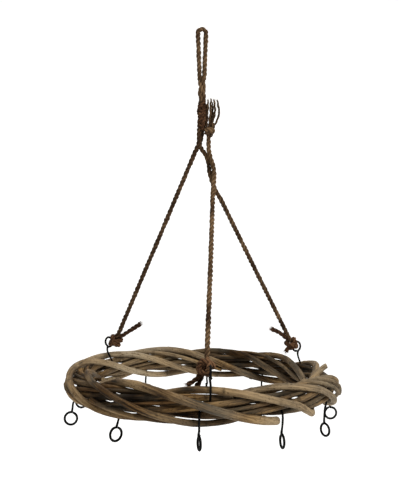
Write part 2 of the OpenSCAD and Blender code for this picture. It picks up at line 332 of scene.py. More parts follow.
def willow(name, dark, mid, light, pale, seed):
    """Bark: lengthwise streaks, blotches, specks, dark rings at the buds. The pale attribute weathers it grey
    and also paints light on it.
    """
    mat, nodes, links, bsdf = node_material(name)
    g = Graph(nodes, links)
    grain = g.attr("grain", "Vector")
    tone, weather_and_light, scar = g.attr("tone", "Fac"), g.attr("pale", "Fac"), g.attr("scar", "Fac")
    streak = g.noise(g.scaled(grain, (460, 460, 14), (seed, 0, 0)), 1, 4, 0.65, 0.3)
    blotch = g.noise(g.scaled(grain, (110, 110, 21), (0, seed, 0)), 1, 4, 0.65, 0.6)
    fine = g.noise(g.scaled(grain, (2600, 2600, 420)), 1, 2, 0.6)
    speck = g.noise(g.scaled(grain, (520, 520, 260), (seed, seed, 0)), 1, 1, 0.4)
    body = g.math("ADD", g.math("MULTIPLY", streak, 0.5), g.math("MULTIPLY", blotch, 0.5))
    # tone: the rod's own tone, plus the painted light and shade of the SHADE table
    body = g.math("ADD", body, g.math("MULTIPLY", g.math("SUBTRACT", tone, 0.5), 0.34))
    colour = g.ramp(body, [(0.37, dark), (0.49, mid), (0.63, light)])
    # weathering and painted light: the pale attribute turns the bark to its pale grey colour
    weather_and_light_mask = g.math("MULTIPLY", weather_and_light, g.math("ADD", 0.35, g.math("MULTIPLY", blotch, 0.9)), clamp=True)
    colour = g.mix(weather_and_light_mask, colour, g.mix(streak, tuple(0.45 * c for c in pale), tuple(1.12 * c for c in pale)))
    specks = g.ramp(speck, [(0.63, (0, 0, 0)), (0.69, (1, 1, 1))])
    colour = g.mix(g.math("MULTIPLY", specks, 0.6), colour, tuple(0.35 * c for c in dark))
    split = g.noise(g.scaled(grain, (430, 430, 42), (seed, 7, 0)), 1, 4, 0.7, 0.6)
    crack = g.ramp(split, [(0.56, (0, 0, 0)), (0.61, (1, 1, 1))])
    colour = g.mix(g.math("MULTIPLY", crack, g.math("MULTIPLY", weather_and_light, 1.25), clamp=True), colour,
                   tuple(0.6 * c for c in mid))
    marks = g.math("MULTIPLY", scar, g.math("ADD", 0.45, g.math("MULTIPLY", fine, 0.7)), clamp=True)
    colour = g.mix(marks, colour, tuple(0.55 * c for c in dark))
    links.new(colour, bsdf.inputs["Base Color"])
    rough = g.math("ADD", 0.58, g.math("MULTIPLY", streak, 0.3))
    links.new(rough, bsdf.inputs["Roughness"])
    bsdf.inputs["Specular IOR Level"].default_value = 0.08
    height = g.math("ADD", g.math("MULTIPLY", streak, 0.7), g.math("MULTIPLY", fine, 0.3))
    normal = g.bump(height, 0.55, 0.0007)
    links.new(normal, bsdf.inputs["Normal"])
    return mat


def cut_wood():
    """The cut end of a rod: pale wood gone grey, with saw marks."""
    mat, nodes, links, bsdf = node_material("cut_wood")
    g = Graph(nodes, links)
    grain = g.attr("grain", "Vector")
    rings = g.noise(g.scaled(grain, (420, 420, 300)), 1, 4, 0.6)
    saw = g.noise(g.scaled(grain, (140, 2600, 10)), 1, 2, 0.5)
    colour = g.ramp(rings, [(0.3, srgb(104, 86, 62)), (0.5, srgb(148, 126, 94)), (0.7, srgb(176, 156, 122))])
    colour = g.mix(g.math("MULTIPLY", saw, 0.45), colour, srgb(92, 76, 56))
    links.new(colour, bsdf.inputs["Base Color"])
    links.new(g.math("ADD", 0.7, g.math("MULTIPLY", saw, 0.2)), bsdf.inputs["Roughness"])
    links.new(g.bump(saw, 0.5, 0.0004), bsdf.inputs["Normal"])
    return mat


def rope_material(name, dark, mid, light, groove, seed):
    """Laid rope: yarns that run across each strand, and painted shade that darkens the grooves between strands
    towards the groove colour, so the crests stand paler.
    """
    mat, nodes, links, bsdf = node_material(name)
    g = Graph(nodes, links)
    grain, painted_groove_shade, tone = g.attr("grain", "Vector"), g.attr("groove", "Fac"), g.attr("tone", "Fac")
    yarn = g.noise(g.scaled(grain, (1500, 170, 40), (seed, 0, 0)), 1, 3, 0.6, 0.4)
    fibre = g.noise(g.scaled(grain, (5200, 520, 60), (0, seed, 0)), 1, 2, 0.6, 0.3)
    patch = g.noise(g.scaled(grain, (60, 36, 3), (seed, seed, 0)), 1, 3, 0.6)
    body = g.math("ADD", g.math("MULTIPLY", yarn, 0.45), g.math("MULTIPLY", fibre, 0.25))
    body = g.math("ADD", body, g.math("MULTIPLY", patch, 0.3))
    body = g.math("ADD", body, g.math("MULTIPLY", g.math("SUBTRACT", tone, 0.5), 0.3))
    colour = g.ramp(body, [(0.34, dark), (0.5, mid), (0.66, light)])
    # painted shade: the groove attribute darkens the colour in the grooves between strands
    inside = g.math("MULTIPLY", g.math("POWER", painted_groove_shade, 1.4), 0.85, clamp=True)
    colour = g.mix(inside, colour, groove)
    links.new(colour, bsdf.inputs["Base Color"])
    links.new(g.math("ADD", 0.78, g.math("MULTIPLY", fibre, 0.2)), bsdf.inputs["Roughness"])
    bsdf.inputs["Specular IOR Level"].default_value = 0.08
    height = g.math("ADD", g.math("MULTIPLY", yarn, 0.65), g.math("MULTIPLY", fibre, 0.35))
    links.new(g.bump(height, 0.8, 0.0007), bsdf.inputs["Normal"])
    return mat


def wire_material():
    """Black annealed wire: near black, with a thin uneven oxide and a few brown specks."""
    mat, nodes, links, bsdf = node_material("black_wire")
    g = Graph(nodes, links)
    grain = g.attr("grain", "Vector")
    scale = g.noise(g.scaled(grain, (500, 500, 90)), 1, 4, 0.6)
    rust = g.noise(g.scaled(grain, (260, 260, 120), (3, 1, 2)), 1, 3, 0.6)
    colour = g.ramp(scale, [(0.3, (0.001, 0.001, 0.001)), (0.55, (0.002, 0.002, 0.002)),
                            (0.8, (0.006, 0.005, 0.004))])
    spots = g.ramp(rust, [(0.66, (0, 0, 0)), (0.78, (1, 1, 1))])
    colour = g.mix(g.math("MULTIPLY", spots, 0.2), colour, srgb(40, 22, 12))
    links.new(colour, bsdf.inputs["Base Color"])
    links.new(g.math("ADD", 0.42, g.math("MULTIPLY", scale, 0.35)), bsdf.inputs["Roughness"])
    bsdf.inputs["Specular IOR Level"].default_value = 0.06
    links.new(g.bump(scale, 0.35, 0.0003), bsdf.inputs["Normal"])
    return mat


# the last colour of each is pale grey weathered bark, which also stands in for light falling on the rods
WILLOW = {
    "brown": willow("willow_brown", srgb(18, 11, 5), srgb(70, 50, 27), srgb(126, 99, 62),
                    srgb(146, 134, 112), 3.0),
    "grey": willow("willow_grey", srgb(22, 14, 8), srgb(82, 61, 36), srgb(136, 111, 76),
                   srgb(158, 147, 126), 11.0),
    "dark": willow("willow_dark", srgb(15, 9, 4), srgb(54, 37, 20), srgb(98, 72, 43),
                   srgb(132, 118, 94), 23.0),
}
CUT = cut_wood()
# the fourth colour of each rope is the near-black painted shade of its grooves
ROPE = rope_material("rope", srgb(20, 12, 7), srgb(60, 43, 28), srgb(112, 89, 64), srgb(8, 4, 2), 5.0)
KNOT = rope_material("knot_rope", srgb(26, 15, 8), srgb(68, 45, 29), srgb(108, 79, 55), srgb(11, 6, 4), 17.0)
WIRE = wire_material()

# ------------------------------------------------------------------ camera, at the photograph's angle
view = bpy.data.cameras.new("view")
view.sensor_width, view.lens = 36.0, 52.06
view.clip_start, view.clip_end = 0.05, 40
camera = bpy.data.objects.new("view", view)
bpy.context.scene.collection.objects.link(camera)
camera.location = (-0.0027, -1.32, -0.399)
camera.rotation_euler = (math.pi / 2, 0, 0)
bpy.context.scene.camera = camera


# ------------------------------------------------------------------ rope
# by number of strands: how far a strand's middle is from the rope's, and the strand's radius, both as parts of
# the rope's diameter
STRAND_SHAPE = {3: (0.235, 0.275), 2: (0.25, 0.26)}
TAPER_RUN = 10.0  # a tapered end narrows, or spreads, over this length


def rope_tube(build, path, d, seed, tone=0.5, lay=26.0, phase=0.0, taper=0.0, strands=3, side_steps=11):
    """A laid rope along a path: a cross-section of round strands that turns with the lay."""
    rng = np.random.default_rng(seed)
    s = run_of(path)
    n, b = carried_frames(path)[1:]
    sides = strands * side_steps
    turn = phase + 2 * math.pi * s / lay
    local = np.linspace(-math.pi / strands, math.pi / strands, side_steps, endpoint=False)
    local = local + math.pi / (strands * side_steps)
    centres = 2 * math.pi * np.arange(strands) / strands
    flat = (centres[:, None] + local[None]).ravel()
    off = np.tile(local, strands)
    a, c = (part * d for part in STRAND_SHAPE[strands])
    r = a * np.cos(off) + np.sqrt(np.maximum(c * c - (a * np.sin(off)) ** 2, 0.01))
    swell = 1 + 0.035 * wave_noise(s, rng, 14, 60)[:, None]
    strand_swell = np.stack([1 + 0.045 * wave_noise(s, rng, 9, 30) for _ in range(strands)], -1)
    strand_swell = np.repeat(strand_swell, side_steps, axis=1)
    end_fade = np.ones_like(s)
    if taper:
        end_fade = np.clip(1 - taper * np.clip((s - s[-1] + TAPER_RUN) / TAPER_RUN, 0, 1), 0.2, 1.3)
    radius = r[None] * swell * strand_swell * end_fade[:, None]
    ang = turn[:, None] + flat[None]
    across = np.tile(off * c * 1.6, (len(s), 1)) * MM
    along = np.repeat(s[:, None], sides, axis=1) * MM
    which = np.tile(np.repeat(np.arange(strands), side_steps), (len(s), 1)) * 0.37 + seed * 0.11
    # yarns lie across the strand, nearly along the rope
    skew_across = across * 0.86 + along * 0.5
    skew_along = along * 0.86 - across * 0.5
    grain = np.stack([skew_across, skew_along, which], -1)
    # painted shade: 0 on a strand's crest, 1 in the groove between strands, where the material darkens the
    # colour
    groove_shade_mask = np.clip((np.abs(off) / (math.pi / strands)), 0, 1) ** 2.2
    groove = np.tile(groove_shade_mask, (len(s), 1))
    shade = np.clip(tone + 0.12 * wave_noise(s, rng, 30, 140), 0, 1)
    build.tube(path, n, b, radius, {
        "grain": grain, "groove": groove, "tone": np.repeat(shade[:, None], sides, axis=1), "_angle": ang})


def fibre(build, start, direction, length, r, rng, bend=0.5, tone=0.7):
    """One loose hair of the rope."""
    k = 5
    d = unit(np.asarray(direction, float))
    side = unit(np.cross(d, rng.normal(size=3)))
    u = np.linspace(0, 1, k)[:, None]
    path = np.asarray(start) + d * length * u + side * length * bend * u**2
    n, b = carried_frames(path, side)[1:]
    rad = r * (1 - 0.7 * u)
    sides = 3
    grain = np.zeros((k, sides, 3))
    grain[..., 1] = (u * length * MM)
    grain[..., 2] = rng.uniform(0, 9)
    build.tube(path, n, b, rad, {"grain": grain, "groove": np.zeros((k, sides)),
                                 "tone": np.full((k, sides), tone)})


def fuzz(build, path, d, seed, per_mm, long=(4, 11)):
    """Loose hairs that stand out all along a rope."""
    rng = np.random.default_rng(seed)
    s = run_of(path)
    t, n, b = carried_frames(path)
    for _ in range(int(per_mm * s[-1])):
        i = rng.integers(2, len(path) - 2)
        a = rng.uniform(0, 2 * math.pi)
        out = n[i] * math.cos(a) + b[i] * math.sin(a)
        lean = t[i] * rng.choice([-1, 1]) * rng.uniform(0.6, 2.2)
        fibre(build, path[i] + out * d * 0.4, out + lean, rng.uniform(*long), rng.uniform(0.09, 0.2), rng,
              rng.uniform(-0.5, 0.6))


def brush(build, end, direction, d, seed, count=26, long=(4, 12), spread=0.5):
    """Fibres that stand out of a rope's cut end."""
    rng = np.random.default_rng(seed)
    d_hat = unit(np.asarray(direction, float))
    for _ in range(count):
        off = rng.normal(size=3)
        off -= d_hat * np.dot(off, d_hat)
        off = unit(off) * math.sqrt(rng.uniform(0, 1))
        start = np.asarray(end) + off * d * 0.38 - d_hat * 1.5
        fibre(build, start, d_hat + off * spread * rng.uniform(0.3, 1.3),
              rng.uniform(*long), rng.uniform(0.12, 0.3), rng, rng.uniform(-0.3, 0.3), rng.uniform(0.3, 0.9))


CORD_POINTS = 120  # about how many points of its path declare() picks


def declare(path):
    """Picks about CORD_POINTS points of the path and its last point; nothing more is done with them."""
    pts = path[:: max(1, len(path) // CORD_POINTS)]
    pts = np.vstack([pts, path[-1:]]) if np.linalg.norm(pts[-1] - path[-1]) > 1e-6 else pts


ROPE_D = 8.0
FULL_D = 8.9  # the same rope over the crests of its strands
WRAP_SHIFT = 1.5  # the main knot sits this far to the right of the neck


def hairs(path, name, seed, body):
    """The loose hairs along a rope, as a piece of their own."""
    build = Build()
    fuzz(build, path, ROPE_D, seed, 0.22)
    piece = build.finish(name, [ROPE])
    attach(piece, body)


def centre(node):
    """The middle of a CAD node's box."""
    return (np.array(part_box(node)[0]) + np.array(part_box(node)[1])) / 2 / MM


KNOTS = {side: centre("eye_knot_" + side) for side in ("left", "right", "front")}
# each leg's way round the knots, before it runs straight to its eye knot
LEGS = {
    "left": [(-5, -2.5, -178), (-5, -2.5, -192), (-6.5, -2.5, -206), (-13, 1.4, -221)],
    "right": [(1, 7, -178), (-1, 7, -192), (-4, 6, -206), (1, 2.5, -217), (8, -1.5, -227), (11.5, -4.5, -240),
              (13, -6, -252), (16, -7, -266), (20, -6, -279), (25, -3, -291), (34, 3, -306)],
    "front": [(12, -4, -188), (12, -4.5, -205), (12.5, -5.5, -219), (16, -8, -233),
              (20, -11, -246), (22, -14, -259), (21.5, -18, -274), (20, -24, -292)],
}
# painted light and shade: the front leg is lighter and the left one darker, as the light falls on them
LEG_LIGHT_AND_SHADE = {"left": 0.5, "right": 0.55, "front": 0.72}
for k, (side, route) in enumerate(LEGS.items()):
    end = KNOTS[side]
    straight = [np.array(route[-1]) + (end - np.array(route[-1])) * u for u in (0.12, 0.35, 0.7)]
    stop = end + unit(np.array(route[-1]) - end) * 5
    path = smooth_path(route + [tuple(p) for p in straight] + [tuple(stop)], 1.3)
    build = Build()
    rope_tube(build, path, FULL_D, 31 + k, LEG_LIGHT_AND_SHADE[side], phase=k)
    hairs(path, "rope_leg_" + side + "_hairs", 41 + k, "rack")
    piece = build.finish("rope_leg_" + side, [ROPE])
    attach(piece, "rack")
    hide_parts("leg_" + side)
    declare(path)

# the loop over the ceiling hook: its crown's radius and the height of its middle, half its width at the foot,
# and the way down to there
CROWN = 7.3
CROWN_Z, FOOT, LOOP_DROP = ROPE_D / 2 - CROWN, 4.1, SIDE_PIVOT + 3.3
arc = [(CROWN * math.cos(a), 0, CROWN_Z + CROWN * math.sin(a)) for a in np.radians(np.arange(0, 181, 15))]


def loop_side(side):
    """One side of the loop, from its foot up to the crown."""
    return [(side * (FOOT + (CROWN - FOOT) * u), 0, CROWN_Z + LOOP_DROP * (1 - u))
            for u in (0, 0.14, 0.4, 0.7, 0.92)]


loop_path = smooth_path(loop_side(1) + arc + loop_side(-1)[::-1], 1.2)
build = Build()
rope_tube(build, loop_path, FULL_D, 61, 0.66, phase=0.6)
hairs(loop_path[np.abs(loop_path[:, 2]) < 70], "rope_loop_hairs", 62, "hanging_loop")
piece = build.finish("rope_loop", [ROPE])
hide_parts("hanging_loop")
declare(loop_path)
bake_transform(piece)


NECK_LAY = 66.0  # the neck's ropes go once round each other in this length
NECK_R = 3.4  # how far the middle of each is from the neck's


def neck(name, z0, z1, turn0, seed):
    """The rope's runs laid round each other, from z0 down to z1. Also gives the turn that they end at."""
    build = Build()
    zs = np.arange(z0, z1 - 0.01, -1.2)
    turns = turn0 + (z0 - zs) / NECK_LAY * 2 * math.pi
    for k, offset in enumerate((0.3, 2.4, 4.5)):
        a = offset + turns
        path = np.stack([NECK_R * np.cos(a), NECK_R * np.sin(a), zs], -1)
        rope_tube(build, path, ROPE_D, seed + k, 0.6, phase=1.0 + offset)
        fuzz(build, path, ROPE_D, seed + 5 + k, 0.2)
    piece = build.finish(name, [ROPE])
    return piece, turns[-1]


piece, turned = neck("rope_neck_upper", SIDE_PIVOT + 4.5, FRONT_PIVOT - 0.5, 0.0, 71)
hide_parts("neck_upper")
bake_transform(piece)
piece = neck("rope_neck_lower", FRONT_PIVOT + 1.5, SPIN_PLANE - 3, turned, 81)[0]
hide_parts("neck_lower")
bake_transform(piece)

# the main knot: turns of rope round the bundle
WRAP_TURNS = 6.6
build = Build()
th = np.linspace(0, WRAP_TURNS * 2 * math.pi, 520)
zz = SPIN_PLANE - 2.6 + (KNOT_BOTTOM - SPIN_PLANE + 5.4) * th / th[-1]
rr = 5.9 + 0.5 * np.sin(th * 0.83 + 1.0)
rr *= np.clip(np.minimum(th, th[-1] - th) / 1.2, 0.35, 1)
wrap = np.stack([WRAP_SHIFT + rr * np.cos(th + 0.4), 0.92 * rr * np.sin(th + 0.4),
                 zz + 0.42 * rr * np.cos(th - 0.6)], -1)
wrap = smooth_path(wrap[::6], 1.2)
rope_tube(build, wrap, 8.2, 91, 0.55, phase=0.2, lay=20)
for k, (dx, dy) in enumerate(((1.5, 2.0), (-0.6, -1.4), (3.2, -1.2))):
    core = smooth_path([(dx, dy, SPIN_PLANE - 1), (dx, dy, -154), (dx, dy, KNOT_BOTTOM - 2)], 1.6)
    rope_tube(build, core, 6.4, 95 + k, 0.4, phase=k)
# turns that cross over the wrapped ones
OVER = [
    [(-6, -3, -178), (-6.5, -6, -168), (-1, -9, -156), (6, -7.5, -144), (8, -2, -134)],
    [(0, -7, -180), (2, -9.4, -170), (7, -7.5, -158), (9.6, -2, -148)],
    [(-7.5, -1, -150), (-6, -7, -142), (0, -9, -135), (5, -6, -129)],
]
for k, route in enumerate(OVER):
    rope_tube(build, smooth_path(route, 1.0), 5.6, 99 + 7 * k, 0.5, strands=2, lay=15)
fuzz(build, wrap, 8.3, 92, 0.35)
piece = build.finish("knot_main", [KNOT])
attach(piece, "rack")
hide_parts("main_knot")

# the second knot, beside the main one's foot
build = Build()
c = centre("second_knot")
lump = [(3.5, -3, 9), (6.2, -1, 6.5), (5.5, 4.5, 3), (-1, 6, 1.8), (-6.4, 1.0, 0.6), (-2, -5.8, -0.8),
        (5.4, -4.2, -1.2), (6.4, 2.2, -2.6), (0.4, 5.6, -4.6), (-5.4, 0.4, -4.4), (-1.4, -4.8, -5.4),
        (3.4, -2.4, -6.4), (1.5, 1.0, -9)]
path = smooth_path([c + np.array(p) * (1.05, 1.05, 1.2) + (0.8, 0, 0) for p in lump], 0.9)
rope_tube(build, path, 8.2, 101, 0.62, lay=22)
fuzz(build, path, 6.8, 102, 0.4, (3, 8))
piece = build.finish("knot_second", [ROPE])
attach(piece, "rack")
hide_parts("second_knot")

# its ends, unlaid into yarns
build = Build()
YARNS = [
    [(9, -9, -178), (9, -10, -165), (10, -10, -150), (11, -10, -128)],
    [(12, -8, -178), (14, -9, -165), (15.5, -9, -148), (16, -9, -126)],
    [(14, -6, -179), (19, -7, -166), (23.5, -7, -150), (22, -7, -127)],
    [(16, -4, -180), (25, -4, -168), (31, -4, -150), (28, -4, -127)],
    [(13, 0, -178), (17, 1, -162), (19.5, 1, -146), (19, 1, -130)],
]
for k, yarn in enumerate(YARNS):
    path = smooth_path(yarn, 1.0)
    rng = np.random.default_rng(110 + k)
    s = run_of(path)
    path = path + np.stack([wave_noise(s, rng, 9, 26), wave_noise(s, rng, 9, 26), 0 * s], -1) * 0.35
    rope_tube(build, path, 4.2, 120 + k, 0.5, lay=34, side_steps=5, taper=0.3)
    fuzz(build, path, 3, 130 + k, 0.4, (3, 8))
    brush(build, path[-1], path[-1] - path[-4], 3, 140 + k, 14, (2, 6), 0.5)
piece = build.finish("rope_frayed_ends", [ROPE])
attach(piece, "rack")
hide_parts("frayed_yarns")

# the upper eyes: azimuth, angle of the stem's start, stem's bend, stem's end
UPPER = {"left": (-121, 138, (0, 34), (-1, 43)), "right": (121, 66, (1, 33), (0, 43)),
         "front": (3, 60, (8, 30), (1, 43))}
# an eye's radius, and how far outwards its middle is from its stem
UPPER_R, UPPER_LEAN, LOWER_R, LOWER_LEAN = 9.3, -3.0, 10.6, 2.0


def eye_centre(side):
    """The middle of an upper eye, in the row frame."""
    az, end = UPPER[side][0], UPPER[side][-1]
    a = math.radians(az)
    out = RING_R + end[0] + UPPER_LEAN
    rise = math.sqrt(UPPER_R * UPPER_R - UPPER_LEAN * UPPER_LEAN)
    return to_row(np.array([out * math.sin(a), -out * math.cos(a), end[1] + rise]))


# the loose tails that leave the eye knots
TAILS = {
    "left": [[(-161, 94, -570), (-143, 91, -558), (-120, 88, -543)]],
    "right": [[(168, 97, -574), (152, 94, -561), (136, 92, -553)]],
    "stub": [[(172, 99, -586), (168, 96, -592), (165, 94, -597)]],
    "front": [[(0, -199, -586), (-8, -197, -598), (-23, -195, -609)],
              [(2, -194, -590), (-3, -190, -602), (-9, -187, -614)]],
}
# an eye knot, round its own middle: across, towards the eye, up the leg
WRAP = [(0, 0.5, 11), (0.5, 3, 5), (0, 8.5, -2), (-2.5, 6, -9), (-7.5, -1, -7), (-7.5, -6, 0.5), (0, -9, 4),
        (7.8, -3.5, 3.4), (6.5, 5, 1.5), (-1, 6.5, 4), (-8, 2, 5.5), (-7.5, -5.5, -3.5), (0, -9, -4),
        (6, -5, -6)]
for k, side in enumerate(("left", "right", "front")):
    c = KNOTS[side]
    up = unit(np.array(LEGS[side][-1]) - c)
    e = eye_centre(side) - c
    e = unit(e - up * np.dot(e, up))
    s = np.cross(up, e)
    turn = -1 if side == "left" else 1
    size = 1.3 if side == "front" else 1.12
    pts = [c + (s * p[0] * turn + e * p[1] + up * p[2]) * size for p in WRAP]
    path = smooth_path(pts, 1.0)
    build = Build()
    rope_tube(build, path, 8.8, 151 + k, 0.62 if side != "front" else 0.85, lay=24)
    inside = [c + (s * math.cos(w) * 3 * turn + e * math.sin(w) * 3 + up * (6 - 2.1 * w)) * size
              for w in np.arange(0, 6.1, 0.6)]
    rope_tube(build, smooth_path(inside, 1.2), 8.8, 155 + k, 0.3, lay=24)
    fuzz(build, path, 7.4, 161 + k, 0.3, (3, 8))
    piece = build.finish("knot_eye_" + side, [KNOT])
    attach(piece, "rack")
    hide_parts("eye_knot_" + side)
for k, (side, routes) in enumerate(TAILS.items()):
    build = Build()
    for j, route in enumerate(routes):
        path = smooth_path(route, 1.1)
        d = {"left": 8.6, "right": 8.4, "stub": 8.2, "front": 7.8}[side]
        rope_tube(build, path, d, 171 + 3 * k + j, 0.3 if side != "front" else 0.36, phase=j, taper=-0.18)
        fuzz(build, path, d, 181 + 3 * k + j, 0.4, (3, 9))
        brush(build, path[-1], path[-1] - path[-4], d, 191 + 3 * k + j, 46, (3, 8), 0.55)
    piece = build.finish("rope_tail_" + side, [KNOT])
    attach(piece, "rack")
    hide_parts("tail_stub_right" if side == "stub" else "tail_" + side)


# ------------------------------------------------------------------ willow rods
SPRING_RUN = 40  # the end of a rod springs off the weave over this length
WOUND = 1.08  # a wound rod's length over the ring's arc, about
REACH_WANDER, ANGLE_WANDER = 0.35, 0.8  # how far a rod strays from its place: millimetres, degrees
BUD_EDGE = 12  # no bud is nearer than this to the last end


def rod(name, node, az0, az1, angle_of, reach, d0, d1, seed, kind, tone, pale, sides=16,
        bud_gap=(42, 95), step=0.9, spring=0):
    """One willow rod: a tapered sweep with buds, slight kinks and cut ends, along its place in the weave."""
    rng = np.random.default_rng(seed)
    n = int((az1 - az0) / step) + 1
    az = np.linspace(az0, az1, n)
    s0 = np.radians(az - az0) * RING_R * WOUND
    wob = wave_noise(s0, rng, 90, 330) * REACH_WANDER
    lift = spring * np.clip(1 - (s0[-1] - s0) / SPRING_RUN, 0, 1) ** 2
    ang = angle_of(az) + wave_noise(s0, rng, 120, 420) * ANGLE_WANDER
    path = to_row(tube_point(az, (reach(az) if callable(reach) else reach) + wob + lift, ang))
    core = to_row(core_point(az))
    t = unit(np.gradient(path, axis=0))
    out = path - core
    nn = unit(out - t * np.sum(out * t, -1, keepdims=True))
    bb = np.cross(t, nn)
    s = run_of(path)
    d = d0 + (d1 - d0) * s / s[-1]
    rad = d / 2 * (1 + 0.018 * wave_noise(s, rng, 25, 90))
    th = np.linspace(0, 2 * math.pi, sides, endpoint=False)
    radius = np.repeat(rad[:, None], sides, axis=1)
    radius = radius * (1 + 0.012 * np.cos(2 * th[None] + wave_noise(s, rng, 120, 300)[:, None]))
    scar = np.zeros((n, sides))
    at = rng.uniform(15, 50)
    while at < s[-1] - BUD_EDGE:
        where = rng.uniform(0, 2 * math.pi)
        dist = s - at
        # a slight swelling all round, the bud on one side, and dark scars on the bud and before it
        ring = np.exp(-((dist / 3.4) ** 2))[:, None]
        face = (0.5 + 0.5 * np.cos(th - where))[None] ** 3
        grow = 0.035 * d.mean()
        radius = radius + ring * grow * 0.35
        bud = np.exp(-(((dist - 1.5) / 2.6) ** 2))[:, None] * face
        radius = radius + bud * grow * 2.6
        scar = np.maximum(scar, 0.55 * np.exp(-(((dist + 2.2) / 1.1) ** 2))[:, None] * (0.4 + 0.6 * face))
        scar = np.maximum(scar, 0.9 * np.exp(-((dist / 1.8) ** 2))[:, None] * face**2)
        at += rng.uniform(*bud_gap)
    along = np.repeat(s[:, None], sides, axis=1)
    grain = np.stack([radius * np.cos(th), radius * np.sin(th), along], -1) * MM
    grain = grain + np.array([0, 0, seed * 0.731])
    # by azimuth: weathering with painted light, and painted light and shade through the tone
    weather_and_light = np.interp(az, *zip(*pale))
    weather_and_light = np.clip(weather_and_light + 0.10 * wave_noise(s, rng, 60, 240), 0, 1)
    shade = np.clip(tone + np.interp(az, *zip(*SHADE)) + 0.12 * wave_noise(s, rng, 80, 400), 0, 1)
    build = Build()
    build.tube(path, nn, bb, radius, {
        "grain": grain, "scar": scar, "tone": np.repeat(shade[:, None], sides, axis=1),
        "pale": np.repeat(weather_and_light[:, None], sides, axis=1)}, cap_mat=1, slant=rng.uniform(-0.35, 0.35))
    piece = build.finish(name, [WILLOW[kind], CUT])
    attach(piece, "rack")
    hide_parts(node)


# round the ring, as [azimuth, amount]: first how weathered and grey the rods are, which also paints light
# where it falls on them; then painted light and shade that makes them lighter or darker
WEATHER_AND_LIGHT = [(-330, 0.2), (-256, 0.34), (-238, 0.14), (-215, 0.06), (-180, 0.2), (-150, 0.65), (-120, 0.6),
        (-92, 0.3), (-75, 0.15), (-40, 0.08), (0, 0.18), (30, 0.32), (60, 0.55), (80, 0.62), (104, 0.4),
        (172, 0.05)]
SHADE = [(-330, 0), (-256, -0.04), (-232, -0.1), (-200, -0.12), (-170, 0), (-140, 0.3), (-110, 0.2),
         (-75, 0.1), (-40, 0), (0, 0), (40, 0.08), (70, 0.05), (104, -0.05), (172, -0.12)]
# the thick rods: lane, first and last azimuth, diameter, where it turns steep, last end's diameter as a part
# of the first's, and how far the last end springs off
OUTER = [(-2, -256, 84, 12, 48, 0.78, 5), (-1, -254, 31, 13.2, 31, 1, 0), (0, -290, 66, 12, 38, 0.94, 4),
         (1, -260, 90, 12, 52, 0.88, 5)]
for k, (lane, a0, a1, d, steep, thin, spring) in enumerate(OUTER):
    rod(f"rod_outer_{k + 1}", f"outer_weaver_{k + 1}", a0, a1,
        lambda az, lane=lane, steep=steep: outer_angle(lane, az, steep),
        OUTER_REACH + (d - OUTER_D) / 2, d, d * thin, 200 + k, "grey" if k != 0 else "brown",
        (0.42, 0.5, 0.6, 0.5)[k], WEATHER_AND_LIGHT, sides=18, spring=spring)
# the inner rods weather half as much, and get half the painted light with it
for k, a0 in enumerate((-264, -256, -261, -267)):
    rod(f"rod_inner_{k + 1}", f"inner_weaver_{k + 1}", a0, a0 + INNER_SPAN,
        lambda az, k=k: groove_angle(k + 0.5, az), INNER_REACH, 11, 10.2, 210 + k, "brown",
        0.4, [(a, 0.5 * p) for a, p in WEATHER_AND_LIGHT])
# the filling rods: groove, first and last azimuth
FILLERS = [(0, 8, 104), (2, -74, 60), (3, -112, 24), (5, -200, -130), (6, -236, -116), (7, -228, -160),
           (1, -68, -8), (1, 12, 66), (4, -158, -54), (3, 43, 84)]
for k, (groove, a0, a1) in enumerate(FILLERS):
    rod(f"rod_filler_{k + 1}", f"filler_{k + 1}", a0, a1, lambda az, g=groove: groove_angle(g, az),
        FILLER_REACH, 6.5, 5.2, 220 + k, "dark", 0.45, WEATHER_AND_LIGHT, sides=12, bud_gap=(30, 60))
# the binding rods: lane, first and last azimuth, where it turns steep
BINDERS = [(-2, -94, -52, -52), (1, 4, 96, 52), (2, 44, 100, 48), (4, 98, 172, 172), (-5, -192, -120, -120),
           (-4, -80, -45, -45), (-3, -47, -5, -5)]
for k, (lane, a0, a1, steep) in enumerate(BINDERS):
    rod(f"rod_binder_{k + 1}", f"binder_{k + 1}", a0, a1,
        lambda az, lane=lane, a0=a0, a1=a1, steep=steep:
        outer_angle(lane, az, steep) + BINDER_LEAD + BINDER_DRIFT * (az - a0) / (a1 - a0), BINDER_REACH,
        8, 6.8, 230 + k, "brown", 0.55, WEATHER_AND_LIGHT, sides=14, bud_gap=(34, 70))
# the free end: azimuth, reach and angle of each point
FREE_END = [(64, 25, 158), (69, 25.5, 133), (72, 29, 112), (75, 41, 86)]
free = smooth_path(FREE_END, 0.5)
rod("rod_free_end", "free_rod_end", 64, 75, lambda az: np.interp(az, free[:, 0], free[:, 2]),
    lambda az: np.interp(az, free[:, 0], free[:, 1]), 10, 9.4, 260, "grey", 0.6, WEATHER_AND_LIGHT,
    step=0.22)


